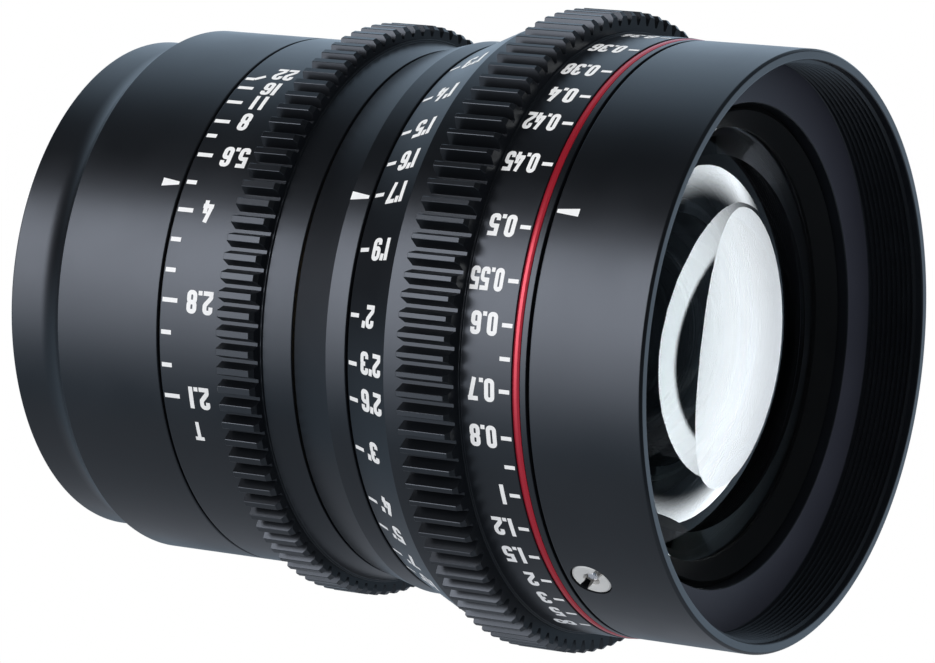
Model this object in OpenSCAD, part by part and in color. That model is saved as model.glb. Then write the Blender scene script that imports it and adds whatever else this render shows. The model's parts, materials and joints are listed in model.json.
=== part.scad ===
// Cinema prime lens: geared focus and iris rings on a fixed barrel, a bayonet mount,
// a helicoid that shifts the optical group and an iris of stacked blades.
// Stations are distances behind the front rim. The origin is the centre of the mount
// flange, the front looks along -Y and +Z is up. Angles grow from the top towards -X.

/* [Outer lengths] */
// Fixed front barrel, rim to the first seam
front_barrel_len = 16.4; // [15:0.1:20]
// Seam between a turning ring and the barrel beside it
seam = 0.4; // [0.35:0.05:0.8]
// Lip of the focus ring in front of the red ring
focus_lip_len = 0.9; // [0.6:0.1:2]
// Width of the red ring
red_ring_len = 1.1; // [0.8:0.1:2]
// Metre scale band of the focus ring
metre_band_len = 7.85; // [6:0.05:10]
// Width of the focus gear
focus_gear_len = 7.65; // [6:0.05:10]
// Plain land behind the focus gear
focus_land_len = 3.05; // [2:0.05:5]
// Tapered foot scale band of the focus ring
foot_band_len = 7.65; // [6:0.05:10]
// Straight land of the middle barrel, which carries an index
mid_land_len = 3; // [2:0.1:5]
// Taper of the middle barrel
mid_taper_len = 6; // [5:0.1:8]
// Taper of the iris ring in front of its gear
iris_taper_len = 4.25; // [3.5:0.05:6]
// Width of the iris gear
iris_gear_len = 5.65; // [5:0.05:8]
// Stop scale band of the iris ring
stop_band_len = 11; // [9:0.1:14]
// Fixed rear barrel
rear_barrel_len = 16.4; // [14:0.1:20]
// Mount collar, rear barrel to the flange plane
collar_len = 9.5; // [8:0.1:14]

/* [Outer radii] */
// Front barrel, the size that clamp-on accessories fit
front_r = 40; // [36:0.1:46]
// Step from the front barrel up to the metre scale band
metre_step = 0.2; // [0.1:0.05:0.4]
// Step from the front barrel up to the land behind the focus gear
land_step = 1.2; // [0.4:0.1:1.4]
// Step from the front barrel down to the stop scale band and the rear barrel
barrel_step = 3.6; // [2:0.1:4]
// Step from the rear barrel up to the middle barrel and the foot scale's rear end
mid_step = 1.4; // [1:0.1:2]
// Step from the rear barrel down to the waist in front of the iris ring
waist_step = 0.2; // [0:0.1:0.5]
// Step from the rear barrel up to the foot of the iris gear's front face
iris_foot_step = 0.7; // [0.3:0.1:1]
// Step from the rear barrel down to the mount collar
collar_step = 2.2; // [1.5:0.1:2.6]

/* [Gears] */
// Module of both drive gears
gear_module = 0.8; // [0.79:0.01:0.84]
// Height of each gear's pitch circle over the barrel in front of or behind it
gear_rise = 2.4; // [2.2:0.1:3]
// Pressure angle of the teeth
pressure_angle = 20; // [14.5:0.5:25]
// Trim of the iris gear's tooth tips
iris_tip_trim = 0.3; // [0:0.05:0.4]
// Chamfer on the front ends of the teeth
tooth_chamfer = 0.55; // [0.2:0.05:0.8]
// Angle of one focus tooth at rest
focus_tooth_phase = 0.6; // [0:0.1:3]
// Angle of one iris tooth at rest
iris_tooth_phase = 0.8; // [0:0.1:3]
// Bead at the foot of a gear's front face
gear_bead = 0.3; // [0.2:0.05:0.5]

/* [Front opening] */
// Wall of the barrel outside the filter thread
filter_wall = 1.5; // [1.2:0.1:2.4]
// Depth of the filter thread
filter_len = 5; // [3:0.1:5.2]
// Depth of the relief behind the thread, beyond the thread wall
relief = 0.4; // [0.2:0.05:0.6]
// Station of the ledge behind the thread
ledge_at = 8.3; // [6:0.1:8.6]
// Gap between the ledge behind the thread and the front retaining ring
ledge_gap = 0.75; // [0.4:0.05:1.2]
// Thickness of the ledge
ledge_len = 2.2; // [1.5:0.1:3]
// Station of the front element's rim
glass_at = 12; // [11.4:0.1:13]
// Slotted plug in the side of the front barrel: radius
plug_r = 2.8; // [1.5:0.1:3]
// Angle of the plug
plug_angle = 131; // [0:1:359]
// Station of the plug
plug_at = 12.8; // [12:0.1:13.2]
// Depth of the plug's seat
plug_depth = 2; // [1.2:0.1:3]

/* [Bayonet] */
// Width of the collar outside the flange plate
flange_edge = 2.2; // [1.5:0.1:3]
// Thickness of the flange plate
flange_len = 2; // [1.6:0.1:3]
// Width of the flange face outside the bayonet tube
flange_width = 7; // [6.6:0.1:8]
// Wall of the bayonet tube
spigot_wall = 1.4; // [1:0.1:2]
// Length of the bayonet tube behind the flange
spigot_len = 4.7; // [4:0.1:6]
// Height of the lugs over the bayonet tube
lug_height = 1.85; // [1.2:0.05:2]
// Thickness of the lugs
lug_len = 1.6; // [1.2:0.1:2]
// Width of each lug, as an angle
lug_angle = 60; // [40:1:70]
// Middle of the first lug
lug_at = 81; // [0:1:119]
// Radius of a mount screw's head
screw_head_r = 1.7; // [1.2:0.1:1.9]
// Radius of a mount screw's shank
screw_r = 0.9; // [0.7:0.05:1.1]
// Length of a mount screw in the collar
screw_grip = 4; // [3:0.1:5]
// Radius of the hole for the lock pin
lock_hole_r = 1.3; // [1:0.1:1.6]
// Step from the bayonet tube up to the bore of the mount collar
collar_bore_step = 2; // [1:0.1:2.4]
// Fillet from the rear barrel down to the collar
fillet_len = 4.5; // [3:0.1:6]
// How far the collar stays behind the flange plane
collar_recess = 0.2; // [0.1:0.05:0.4]

/* [Walls and fits] */
// Wall of the turning rings over the core tube
ring_wall = 2.85; // [2.4:0.05:3.2]
// Wall of the core tube
core_wall = 1.9; // [1.5:0.1:2.2]
// Wall of the helicoid sleeve
sleeve_wall = 2.1; // [1.8:0.1:2.5]
// Wall of the front cell round the front element
cell_wall = 1.5; // [1.2:0.1:2]
// Clearance of turning and sliding fits
running_clear = 0.05; // [0.02:0.01:0.09]
// Clearance of fixed fits
seat_clear = 0.05; // [0.02:0.01:0.09]
// Room between parts that pass each other
pass_clear = 0.35; // [0.3:0.05:0.6]
// Chamfer on outer edges
edge = 0.25; // [0.1:0.05:0.3]
// Thickness of the thrust washers in the seams
washer_len = 0.3; // [0.15:0.05:0.3]
// Thickness of the rear barrel's inner flange
rear_flange_len = 2.4; // [1.5:0.1:4]

/* [Focus drive] */
// Turn of the focus ring from rest to its near stop
focus_near_turn = 59.5; // [40:0.5:70]
// Turn of the focus ring from rest to infinity
focus_far_turn = 94.2; // [80:0.1:110]
// Lead of the helicoid
helicoid_lead = 2.8; // [2:0.1:3.2]
// Radius of the focus drive pin and of the guide key
drive_pin_r = 1.5; // [1:0.1:1.8]
// Angle of the focus drive pin
focus_pin_angle = 200; // [0:1:359]
// Angle of the guide key
key_angle = 180; // [0:1:359]
// Distance of the guide key behind the middle barrel's land
key_offset = 1; // [0.5:0.1:1.5]
// Width of the rings that hold the helicoid sleeve
stop_ring_len = 1.2; // [0.8:0.1:1.5]
// Distance from the sleeve's end to the end of the focus ring
sleeve_margin = 1.4; // [0.5:0.1:3]
// Depth of a drive pin in its ring
pin_depth = 2; // [1:0.1:2.2]

/* [Iris] */
// Turn of the iris ring from rest to fully open
iris_open_turn = 45.8; // [40:0.1:50]
// Turn of the iris ring from rest to fully closed
iris_close_turn = 31.4; // [25:0.1:36]
// Swing of each blade from open to closed
blade_swing = 38; // [30:0.5:40]
// Outer radius of the iris cam ring, as a share of the front cell's
cam_share = 0.845; // [0.82:0.005:0.86]
// Inner radius of a blade's band when open, as a share of the cam ring's
band_in_share = 0.42; // [0.4:0.005:0.43]
// Outer radius of a blade's band when open, as a share of the cam ring's
band_out_share = 0.613; // [0.59:0.001:0.615]
// Angle that a blade's band spans
band_angle = 130; // [110:1:140]
// Circle of blade pivots, as a share of the cam ring's radius
pivot_share = 0.665; // [0.66:0.001:0.68]
// Arm from a blade's pivot to its drive pin, as a share of the cam ring's radius
arm_share = 0.23; // [0.22:0.005:0.24]
// Thickness of a blade
blade_len = 0.15; // [0.1:0.01:0.18]
// Gap between blades
blade_gap = 0.12; // [0.08:0.01:0.15]
// Radius of a blade's pivot pin
blade_pivot_r = 0.6; // [0.4:0.05:0.7]
// Radius of a blade's drive pin
blade_pin_r = 0.4; // [0.3:0.05:0.45]
// Width of a blade's pads over the radius of their pins
pad_ratio = 2.2; // [1.6:0.1:2.4]
// Bore of the iris cam ring, as a share of its outer radius
cam_bore_share = 0.589; // [0.55:0.001:0.61]
// Depth of the notch for the drive pin in the cam ring
notch_depth = 2.8; // [2:0.1:2.9]
// How far the aperture's edge stays outside the open blades
aperture_lip = 0.8; // [0.2:0.1:1]
// Thickness of the iris housing's base
base_len = 1.5; // [1:0.1:2]
// Thickness of the iris cam ring
cam_len = 1; // [0.6:0.1:1.4]
// Wall of the iris housing
housing_wall = 1.3; // [1:0.1:1.6]
// Radius of the iris drive pin
iris_pin_r = 1.2; // [0.8:0.1:1.4]
// Angle of the iris drive pin
iris_pin_angle = 160; // [0:1:359]

/* [Glass] */
// Front element, in rim radii: rim thickness, front radius, rear radius, rear bevel
glass_1 = [0.183, 2.27, 1.1, 0.217];
// Second element
glass_2 = [0.217, 2.6, 1.04, 0.24];
// Third element
glass_3 = [0.385, -3.6, 2.05, 0.18];
// Fourth element
glass_4 = [0.205, 1.64, -2.82, 0.1];
// Fifth element
glass_5 = [0.222, 2.96, -2.07, 0.08];
// Sixth element
glass_6 = [0.52, -1.93, 2.22, 0.15];
// Seventh element
glass_7 = [0.185, 3.33, -2.22, 0.08];
// Rear element
glass_8 = [0.167, 4, -4.67, 0.075];
// Rim of the second element, as a share of the front element's
rim_2_share = 0.767; // [0.74:0.001:0.79]
// Rim of the third and fourth elements, as a share of the front element's
rim_3_share = 0.65; // [0.62:0.001:0.68]
// Rim of the fifth to seventh elements, as a share of the cam ring's radius
rim_5_share = 0.544; // [0.53:0.001:0.56]
// Rim of the rear element, as a share of the cam ring's radius
rim_8_share = 0.605; // [0.59:0.001:0.62]
// Rear cell, as a share of the cam ring's radius
rear_cell_share = 0.726; // [0.69:0.001:0.74]
// Front bevel of every element
bevel = 1.1; // [1:0.05:1.4]
// Spacers behind the first, second and third elements, in front rim radii
front_gaps = [0.083, 0.2, 0.15];
// Spacers behind the fifth, sixth and seventh elements, in fifth rim radii
rear_gaps = [0.52, 0.185, 0.445];
// Thickness of the rear retaining ring
retainer_len = 1.4; // [1:0.1:2]
// Slope of the front retaining ring, front to rear
ring_slope = 1.6; // [1:0.1:2]
// Lip of the front cell in front of the front element's rim
cell_lip = 1; // [0.6:0.1:1.2]
// Distance of the fifth element's rim behind the iris housing
rear_setback = 2.6; // [2.4:0.1:4]

/* [Hidden] */
$fn = 128;
// Reach of cutting tools past the surfaces they cut
outside = 60;
cut = 1;
// Counts that the list of parts fixes
blade_count = 9;
lug_count = 3;
screw_count = 4;

// Stations along the axis
focus_at = front_barrel_len + seam;
red_at = focus_at + focus_lip_len;
metre_at = red_at + red_ring_len;
focus_gear_at = metre_at + metre_band_len;
focus_land_at = focus_gear_at + focus_gear_len;
foot_at = focus_land_at + focus_land_len;
focus_end = foot_at + foot_band_len;
mid_at = focus_end + seam;
mid_taper_at = mid_at + mid_land_len;
mid_end = mid_taper_at + mid_taper_len;
iris_at = mid_end + seam;
iris_gear_at = iris_at + iris_taper_len;
stop_band_at = iris_gear_at + iris_gear_len;
iris_end = stop_band_at + stop_band_len;
rear_at = iris_end + seam;
collar_at = rear_at + rear_barrel_len;
lens_len = collar_at + collar_len;

// Radii from the outside inwards
metre_band_r = front_r + metre_step;
focus_land_r = front_r + land_step;
barrel_r = front_r - barrel_step;
mid_r = barrel_r + mid_step;
waist_r = barrel_r - waist_step;
iris_foot_r = barrel_r + iris_foot_step;
collar_r = barrel_r - collar_step;
focus_teeth = round(2 * (front_r + gear_rise) / gear_module);
iris_teeth = round(2 * (barrel_r + gear_rise) / gear_module);
core_r = barrel_r - ring_wall - running_clear;
core_bore_r = core_r - core_wall;
sleeve_r = core_bore_r - running_clear;
sleeve_bore_r = sleeve_r - sleeve_wall;
cell_r = sleeve_bore_r - 2 * running_clear;
guide_r = core_bore_r - running_clear;
cam_r = cam_share * cell_r;
housing_bore_r = cam_r + pass_clear;
housing_r = housing_bore_r + housing_wall;

// Bayonet
flange_r = collar_r - flange_edge;
spigot_r = flange_r - flange_width;
throat_r = spigot_r - spigot_wall;
lug_r = spigot_r + lug_height;
screw_circle_r = (flange_r + lug_r) / 2;
collar_bore_r = spigot_r + collar_bore_step;

// Elements
rim_1_r = guide_r - cell_wall - seat_clear;
rim_2_r = rim_2_share * rim_1_r;
rim_3_r = rim_3_share * rim_1_r;
rim_5_r = rim_5_share * cam_r;
rim_8_r = rim_8_share * cam_r;
rear_cell_r = rear_cell_share * cam_r;
lens_1 = rim_1_r * glass_1;
lens_2 = rim_2_r * glass_2;
lens_3 = rim_3_r * glass_3;
lens_4 = rim_3_r * glass_4;
lens_5 = rim_5_r * glass_5;
lens_6 = rim_5_r * glass_6;
lens_7 = rim_5_r * glass_7;
lens_8 = rim_8_r * glass_8;
front_gap_len = rim_1_r * front_gaps;
rear_gap_len = rim_5_r * rear_gaps;

// Front opening
filter_r = front_r - filter_wall;
ledge_r = guide_r + ledge_gap;
core_at = ledge_at + ledge_len;
core_end = collar_at - rear_flange_len;

// Focus drive
group_forward = helicoid_lead * focus_near_turn / 360;
group_back = helicoid_lead * focus_far_turn / 360;
group_travel = group_forward + group_back;
glass_2_at = glass_at + lens_1[0] + front_gap_len[0];
glass_3_at = glass_2_at + lens_2[0] + front_gap_len[1];
glass_4_at = glass_3_at + lens_3[0] + front_gap_len[2];
glass_4_seat = glass_4_at + lens_4[0];
cell_at = glass_at - cell_lip;
guide_end = glass_2_at + cell_wall;
stop_ring_at = guide_end + group_back + pass_clear;
sleeve_at = stop_ring_at + stop_ring_len + running_clear;
sleeve_end = focus_end - sleeve_margin;
retainer_at = sleeve_end + running_clear;
retainer_end = retainer_at + stop_ring_len;
focus_pin_at = focus_gear_at + focus_gear_len / 2;
key_at = mid_taper_at + key_offset;
guide_flange_at = retainer_end + group_forward + 2 * pass_clear;
guide_flange_end = key_at + drive_pin_r + cell_wall;

// Iris stack
iris_turn = iris_open_turn + iris_close_turn;
blade_ratio = blade_swing / iris_turn;
blade_rest = blade_ratio * iris_open_turn;
blade_pitch = blade_len + blade_gap;
iris_pin_at = iris_gear_at + iris_gear_len / 2;
cam_at = iris_pin_at - cam_len / 2;
cam_end = cam_at + cam_len;
housing_at = iris_pin_at - iris_pin_r - group_back - pass_clear;
blades_at = cam_end + 2 * blade_gap;
base_at = blades_at + blade_count * blade_pitch + blade_gap;
base_end = base_at + base_len;
band_in = band_in_share * cam_r;
band_out = band_out_share * cam_r;
pivot_circle_r = pivot_share * cam_r;
blade_arm = arm_share * cam_r;
cam_bore_r = cam_bore_share * cam_r;
aperture_r = band_in + aperture_lip;
pin_hole_clear = 2 * running_clear;
notch_r = cam_r - notch_depth;

// Rear cell
glass_5_at = base_end + rear_setback;
glass_6_at = glass_5_at + lens_5[0] + rear_gap_len[0];
glass_7_at = glass_6_at + lens_6[0] + rear_gap_len[1];
glass_8_at = glass_7_at + lens_7[0] + rear_gap_len[2];
glass_7_end = glass_7_at + lens_7[0];
glass_8_end = glass_8_at + lens_8[0];
rear_cell_end = glass_8_end + retainer_len;
ring_lip = bevel - pass_clear;

// Colours
black = "#17181b";
satin = "#25272b";
steel = "#b9bcc0";
brass = "#a98d4e";
red = "#b3202c";
glass = "#7f95a8";

// Gear sizes
function pitch_r(teeth) = gear_module * teeth / 2;
function tip_r(teeth) = pitch_r(teeth) + gear_module;
function root_r(teeth) = pitch_r(teeth) - 1.25 * gear_module;
function tooth_half(teeth, r) = PI * gear_module / 4 - (r - pitch_r(teeth)) * tan(pressure_angle);
function gap_half(teeth, r) = PI * r / teeth - tooth_half(teeth, r);
function sagitta(radius, half_width) = abs(radius) - sqrt(radius * radius - half_width * half_width);

// Where a blade's drive pin is when the blade has swung by an angle from open
function blade_pin(swing) = [pivot_circle_r + blade_arm * sin(swing), -blade_arm * cos(swing)];
function polar_angle(p) = atan2(p[1], p[0]);

// Placing: a profile of [radius, station] turned about the axis
module revolve(profile)
    translate([0, -lens_len, 0])
        rotate([-90, 0, 0])
            rotate_extrude()
                polygon(profile);

// Placing: a flat face at a station, +X up, angles as stated above, +Z towards the front
module face_on(station)
    translate([0, station - lens_len, 0])
        rotate([90, 0, 0])
            rotate([0, 0, 90])
                children();

// Placing: +Z points outwards along the radius
module spoke(angle, station)
    translate([0, station - lens_len, 0])
        rotate([0, -angle, 0])
            children();

module tube(r_in, r_out, from, to)
    revolve([[r_in, from], [r_out, from], [r_out, to], [r_in, to]]);

module arc_block(angle_from, angle_to, r_in, r_out, from, to)
    face_on(to)
        rotate([0, 0, angle_from])
            rotate_extrude(angle = angle_to - angle_from)
                translate([r_in, 0])
                    square([r_out - r_in, to - from]);

module radial_pin(angle, station, r, r_from, r_to)
    spoke(angle, station)
        translate([0, 0, r_from])
            cylinder(r = r, h = r_to - r_from);

module gear_gaps(teeth, phase, from, to)
    face_on(to + cut)
        linear_extrude(to - from + 2 * cut)
            for (i = [0 : teeth - 1])
                rotate(phase + 360 * (i + 0.5) / teeth)
                    gear_gap(teeth);

module gear_gap(teeth) {
    low = root_r(teeth);
    high = tip_r(teeth) + cut;
    polygon([[low, -gap_half(teeth, low)], [high, -gap_half(teeth, high)],
        [high, gap_half(teeth, high)], [low, gap_half(teeth, low)]]);
}

// Fixed barrel
module front_barrel()
    color(black)
        difference() {
            revolve([[filter_r + edge / 2, 0], [front_r - edge, 0], [front_r, edge],
                [front_r, front_barrel_len - edge], [front_r - edge, front_barrel_len],
                [core_r + seat_clear, front_barrel_len], [core_r + seat_clear, core_at],
                [ledge_r, core_at], [ledge_r, ledge_at], [filter_r + relief, ledge_at],
                [filter_r + relief, filter_len], [filter_r, filter_len], [filter_r, edge / 2]]);
            radial_pin(plug_angle, plug_at, plug_r + seat_clear, front_r - plug_depth, outside);
        }

module slotted_plug()
    color(steel)
        spoke(plug_angle, plug_at)
            translate([0, 0, front_r - plug_depth])
                difference() {
                    plug_body(plug_depth - edge / 2);
                    translate([0, 0, plug_depth / 2]) {
                        cylinder(r = plug_r / 3, h = plug_depth);
                        translate([-plug_r - cut, -plug_r / 6, edge])
                            cube([2 * (plug_r + cut), plug_r / 3, plug_depth]);
                    }
                }

module plug_body(height)
    rotate_extrude()
        polygon([[0, 0], [plug_r, 0], [plug_r, height - edge], [plug_r - edge, height], [0, height]]);

module core_tube()
    color(satin)
        difference() {
            tube(core_bore_r, core_r, core_at + seat_clear, core_end);
            core_slot(focus_pin_angle - focus_far_turn, focus_pin_angle + focus_near_turn,
                focus_pin_at, drive_pin_r);
            core_slot(iris_pin_angle - iris_open_turn, iris_pin_angle + iris_close_turn,
                iris_pin_at, iris_pin_r);
            radial_pin(key_angle, key_at, drive_pin_r + seat_clear, core_bore_r - cut, outside);
        }

module core_slot(angle_from, angle_to, station, pin_r) {
    half = pin_r + pass_clear;
    spare = half / core_bore_r * 180 / PI;
    arc_block(angle_from - spare, angle_to + spare, core_bore_r - cut, core_r + cut,
        station - half, station + half);
}

module mid_barrel()
    color(black)
        revolve([[core_r + seat_clear, mid_at], [mid_r - edge, mid_at], [mid_r, mid_at + edge],
            [mid_r, mid_taper_at], [waist_r, mid_end - edge], [waist_r - edge, mid_end],
            [core_r + seat_clear, mid_end]]);

module rear_barrel()
    color(black)
        revolve([[core_r + seat_clear, rear_at], [barrel_r - edge, rear_at], [barrel_r, rear_at + edge],
            [barrel_r, collar_at - edge], [barrel_r - edge, collar_at], [collar_bore_r, collar_at],
            [collar_bore_r, core_end + seat_clear], [core_r + seat_clear, core_end + seat_clear]]);

module mount_collar() {
    rise = barrel_r - edge - collar_r;
    sweep = 2 * atan(rise / fillet_len);
    fillet_r = fillet_len / sin(sweep);
    steps = 14;
    face_at = lens_len - collar_recess;
    color(black)
        difference() {
            revolve([[collar_bore_r, collar_at],
                for (i = [steps : -1 : 0])
                    [collar_r + fillet_r * (1 - cos(sweep * i / steps)),
                        collar_at + fillet_len - fillet_r * sin(sweep * i / steps)],
                [collar_r, face_at - edge], [collar_r - edge, face_at],
                [flange_r + seat_clear, face_at], [flange_r + seat_clear, lens_len - flange_len],
                [collar_bore_r, lens_len - flange_len]]);
            at_screws(lens_len - flange_len - screw_grip - cut)
                cylinder(r = screw_r + seat_clear, h = screw_grip + 2 * cut);
        }
}

// Local +Z points to the rear, from a station
module at_screws(station)
    for (i = [0 : screw_count - 1])
        spoke(360 * (i + 0.5) / screw_count, station)
            translate([0, 0, screw_circle_r])
                rotate([-90, 0, 0])
                    children();

module bayonet_mount() {
    head_seat = flange_len / 2;
    color(steel)
        difference() {
            union() {
                tube(throat_r, flange_r, lens_len - flange_len, lens_len);
                tube(throat_r, spigot_r, lens_len - cut, lens_len + spigot_len);
                for (i = [0 : lug_count - 1])
                    bayonet_lug(lug_at + 360 * i / lug_count);
            }
            at_screws(lens_len - head_seat)
                cylinder(r = screw_head_r + seat_clear, h = flange_len);
            at_screws(lens_len - flange_len - cut)
                cylinder(r = screw_r + seat_clear, h = flange_len + 2 * cut);
            spoke(lug_at + 180 / lug_count, lens_len - flange_len - cut)
                translate([0, 0, screw_circle_r])
                    rotate([-90, 0, 0])
                        cylinder(r = lock_hole_r, h = flange_len + 2 * cut);
        }
}

module bayonet_lug(middle)
    arc_block(middle - lug_angle / 2, middle + lug_angle / 2, spigot_r - cut / 2, lug_r,
        lens_len + spigot_len - lug_len, lens_len + spigot_len);

module mount_screws() {
    head_seat = flange_len / 2;
    color(steel) {
        at_screws(lens_len - flange_len - screw_grip)
            cylinder(r = screw_r, h = screw_grip + flange_len - head_seat + edge);
        at_screws(lens_len - head_seat)
            cylinder(r = screw_head_r, h = head_seat - edge / 2);
    }
}

module rear_baffle()
    color(black)
        tube(rear_cell_r + 2 * pass_clear, throat_r - seat_clear, lens_len - flange_len, lens_len - edge);

module helicoid_ring(from)
    tube(cell_r + pass_clear, core_bore_r - seat_clear, from, from + stop_ring_len);

module helicoid_stop_ring()
    color(brass)
        helicoid_ring(stop_ring_at);

module helicoid_retainer()
    color(brass)
        helicoid_ring(retainer_at);

module guide_key()
    color(steel)
        radial_pin(key_angle, key_at, drive_pin_r, housing_r + cell_wall, core_r - seat_clear);

module washer(from)
    color(brass)
        tube(core_r + seat_clear, core_r + ring_wall / 2, from, from + washer_len);

module focus_front_washer() washer(front_barrel_len);
module focus_rear_washer() washer(mid_at - washer_len);
module iris_front_washer() washer(mid_end);
module iris_rear_washer() washer(rear_at - washer_len);

// Focus ring and what turns with it
module focus_ring() {
    bore = core_r + running_clear;
    tip = tip_r(focus_teeth);
    groove_r = front_r - 2 * edge;
    color(black)
        difference() {
            revolve([[bore, focus_at], [front_r - edge, focus_at], [front_r, focus_at + edge],
                [front_r, red_at], [groove_r, red_at], [groove_r, metre_at], [metre_band_r, metre_at],
                [metre_band_r, focus_gear_at - gear_bead],
                [metre_band_r + gear_bead, focus_gear_at - gear_bead],
                [metre_band_r + gear_bead, focus_gear_at], [tip - tooth_chamfer, focus_gear_at],
                [tip, focus_gear_at + tooth_chamfer], [tip, focus_land_at], [focus_land_r, focus_land_at],
                [focus_land_r, foot_at], [mid_r, focus_end - edge], [mid_r - edge, focus_end],
                [bore, focus_end]]);
            gear_gaps(focus_teeth, focus_tooth_phase, focus_gear_at, focus_land_at);
            radial_pin(focus_pin_angle, focus_pin_at, drive_pin_r + seat_clear, core_r - cut,
                core_r + pin_depth + seat_clear);
        }
}

module red_ring() {
    inner = front_r - 2 * edge + seat_clear;
    from = red_at + seat_clear;
    to = metre_at - seat_clear;
    color(red)
        revolve([[inner, from], [front_r - edge / 2, from], [front_r + edge / 2, (2 * from + to) / 3],
            [front_r + edge / 2, (from + 2 * to) / 3], [front_r - edge / 2, to], [inner, to]]);
}

module helicoid_sleeve()
    color(brass)
        difference() {
            tube(sleeve_bore_r, sleeve_r, sleeve_at, sleeve_end);
            radial_pin(focus_pin_angle, focus_pin_at, drive_pin_r + seat_clear,
                sleeve_bore_r - cut, outside);
        }

module focus_drive_pin()
    color(steel)
        radial_pin(focus_pin_angle, focus_pin_at, drive_pin_r,
            sleeve_bore_r + seat_clear, core_r + pin_depth);

// Iris ring and what turns with it
module iris_ring() {
    bore = core_r + running_clear;
    tip = tip_r(iris_teeth) - iris_tip_trim;
    color(black)
        difference() {
            revolve([[bore, iris_at], [waist_r - edge, iris_at], [waist_r, iris_at + edge],
                [iris_foot_r, iris_gear_at - gear_bead], [iris_foot_r + gear_bead, iris_gear_at - gear_bead],
                [iris_foot_r + gear_bead, iris_gear_at], [tip - tooth_chamfer, iris_gear_at],
                [tip, iris_gear_at + tooth_chamfer], [tip, stop_band_at], [barrel_r, stop_band_at],
                [barrel_r, iris_end - edge], [barrel_r - edge, iris_end], [bore, iris_end]]);
            gear_gaps(iris_teeth, iris_tooth_phase, iris_gear_at, stop_band_at);
            radial_pin(iris_pin_angle, iris_pin_at, iris_pin_r + seat_clear, core_r - cut,
                core_r + pin_depth + seat_clear);
        }
}

module iris_drive_pin()
    color(steel)
        radial_pin(iris_pin_angle, iris_pin_at, iris_pin_r, notch_r + pass_clear, core_r + pin_depth);

// Optical group
module front_cell() {
    land_r = rim_3_r - lens_4[3] + seat_clear;
    land_end = glass_4_seat + sagitta(lens_4[2], land_r) + pass_clear;
    throat_at = housing_at - cell_wall;
    color(satin)
        difference() {
            revolve([[rim_1_r + seat_clear, cell_at], [guide_r, cell_at], [guide_r, guide_end],
                [cell_r, guide_end], [cell_r, retainer_end], [housing_r, retainer_end],
                [housing_r, guide_flange_at], [guide_r, guide_flange_at], [guide_r, guide_flange_end],
                [housing_r, guide_flange_end], [housing_r, housing_at],
                [cam_bore_r - running_clear, housing_at], [cam_bore_r - running_clear, cam_end],
                [aperture_r, cam_end], [aperture_r, throat_at],
                [land_r, land_end], [land_r, glass_4_seat],
                [rim_3_r + seat_clear, glass_4_seat], [rim_3_r + seat_clear, glass_2_at + lens_2[0]],
                [rim_2_r + seat_clear, glass_2_at + lens_2[0]], [rim_2_r + seat_clear, glass_2_at],
                [rim_1_r + seat_clear, glass_2_at]]);
            spoke(key_angle, guide_flange_at - cut)
                translate([-drive_pin_r - running_clear, 0, housing_r + cell_wall - pass_clear])
                    cube([2 * (drive_pin_r + running_clear),
                        guide_flange_end - guide_flange_at + 2 * cut, outside]);
        }
}

module front_retaining_ring() {
    inner = rim_1_r - bevel;
    color(black)
        revolve([[inner, glass_at], [inner, glass_at - 2 * edge], [guide_r - edge, cell_at - ring_slope],
            [guide_r, cell_at - ring_slope + edge], [guide_r, cell_at], [rim_1_r, cell_at],
            [rim_1_r, glass_at]]);
}

// An element: its rim is a plain disc, and each face is a part of a sphere.
// Positive radii have their centre behind the face.
module element(rim_r, station, shape) {
    thickness = shape[0];
    front = shape[1];
    rear = shape[2];
    front_clear = rim_r - bevel;
    rear_clear = rim_r - shape[3];
    color(glass)
        translate([0, station - lens_len, 0])
            rotate([-90, 0, 0])
                difference() {
                    union() {
                        cylinder(r = rim_r, h = thickness);
                        if (front > 0)
                            mirror([0, 0, 1])
                                cap(front, front_clear);
                        if (rear < 0)
                            translate([0, 0, thickness])
                                cap(-rear, rear_clear);
                    }
                    if (front < 0)
                        translate([0, 0, -sqrt(front * front - front_clear * front_clear)])
                            sphere(r = -front);
                    if (rear > 0)
                        translate([0, 0, thickness + sqrt(rear * rear - rear_clear * rear_clear)])
                            sphere(r = rear);
                }
}

// A convex face that stands on the plane z = 0
module cap(radius, half_width)
    intersection() {
        translate([0, 0, -cut / 2])
            cylinder(r = half_width, h = sagitta(radius, half_width) + cut);
        translate([0, 0, sagitta(radius, half_width) - radius])
            sphere(r = radius);
    }

module spacer(r_front, r_rear, r_out, from, length)
    color(black)
        revolve([[r_front, from], [r_out, from], [r_out, from + length], [r_rear, from + length]]);

module front_element() element(rim_1_r, glass_at, lens_1);
module second_element() element(rim_2_r, glass_2_at, lens_2);
module third_element() element(rim_3_r, glass_3_at, lens_3);
module fourth_element() element(rim_3_r, glass_4_at, lens_4);
module fifth_element() element(rim_5_r, glass_5_at, lens_5);
module sixth_element() element(rim_5_r, glass_6_at, lens_6);
module seventh_element() element(rim_5_r, glass_7_at, lens_7);
module rear_element() element(rim_8_r, glass_8_at, lens_8);

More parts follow.
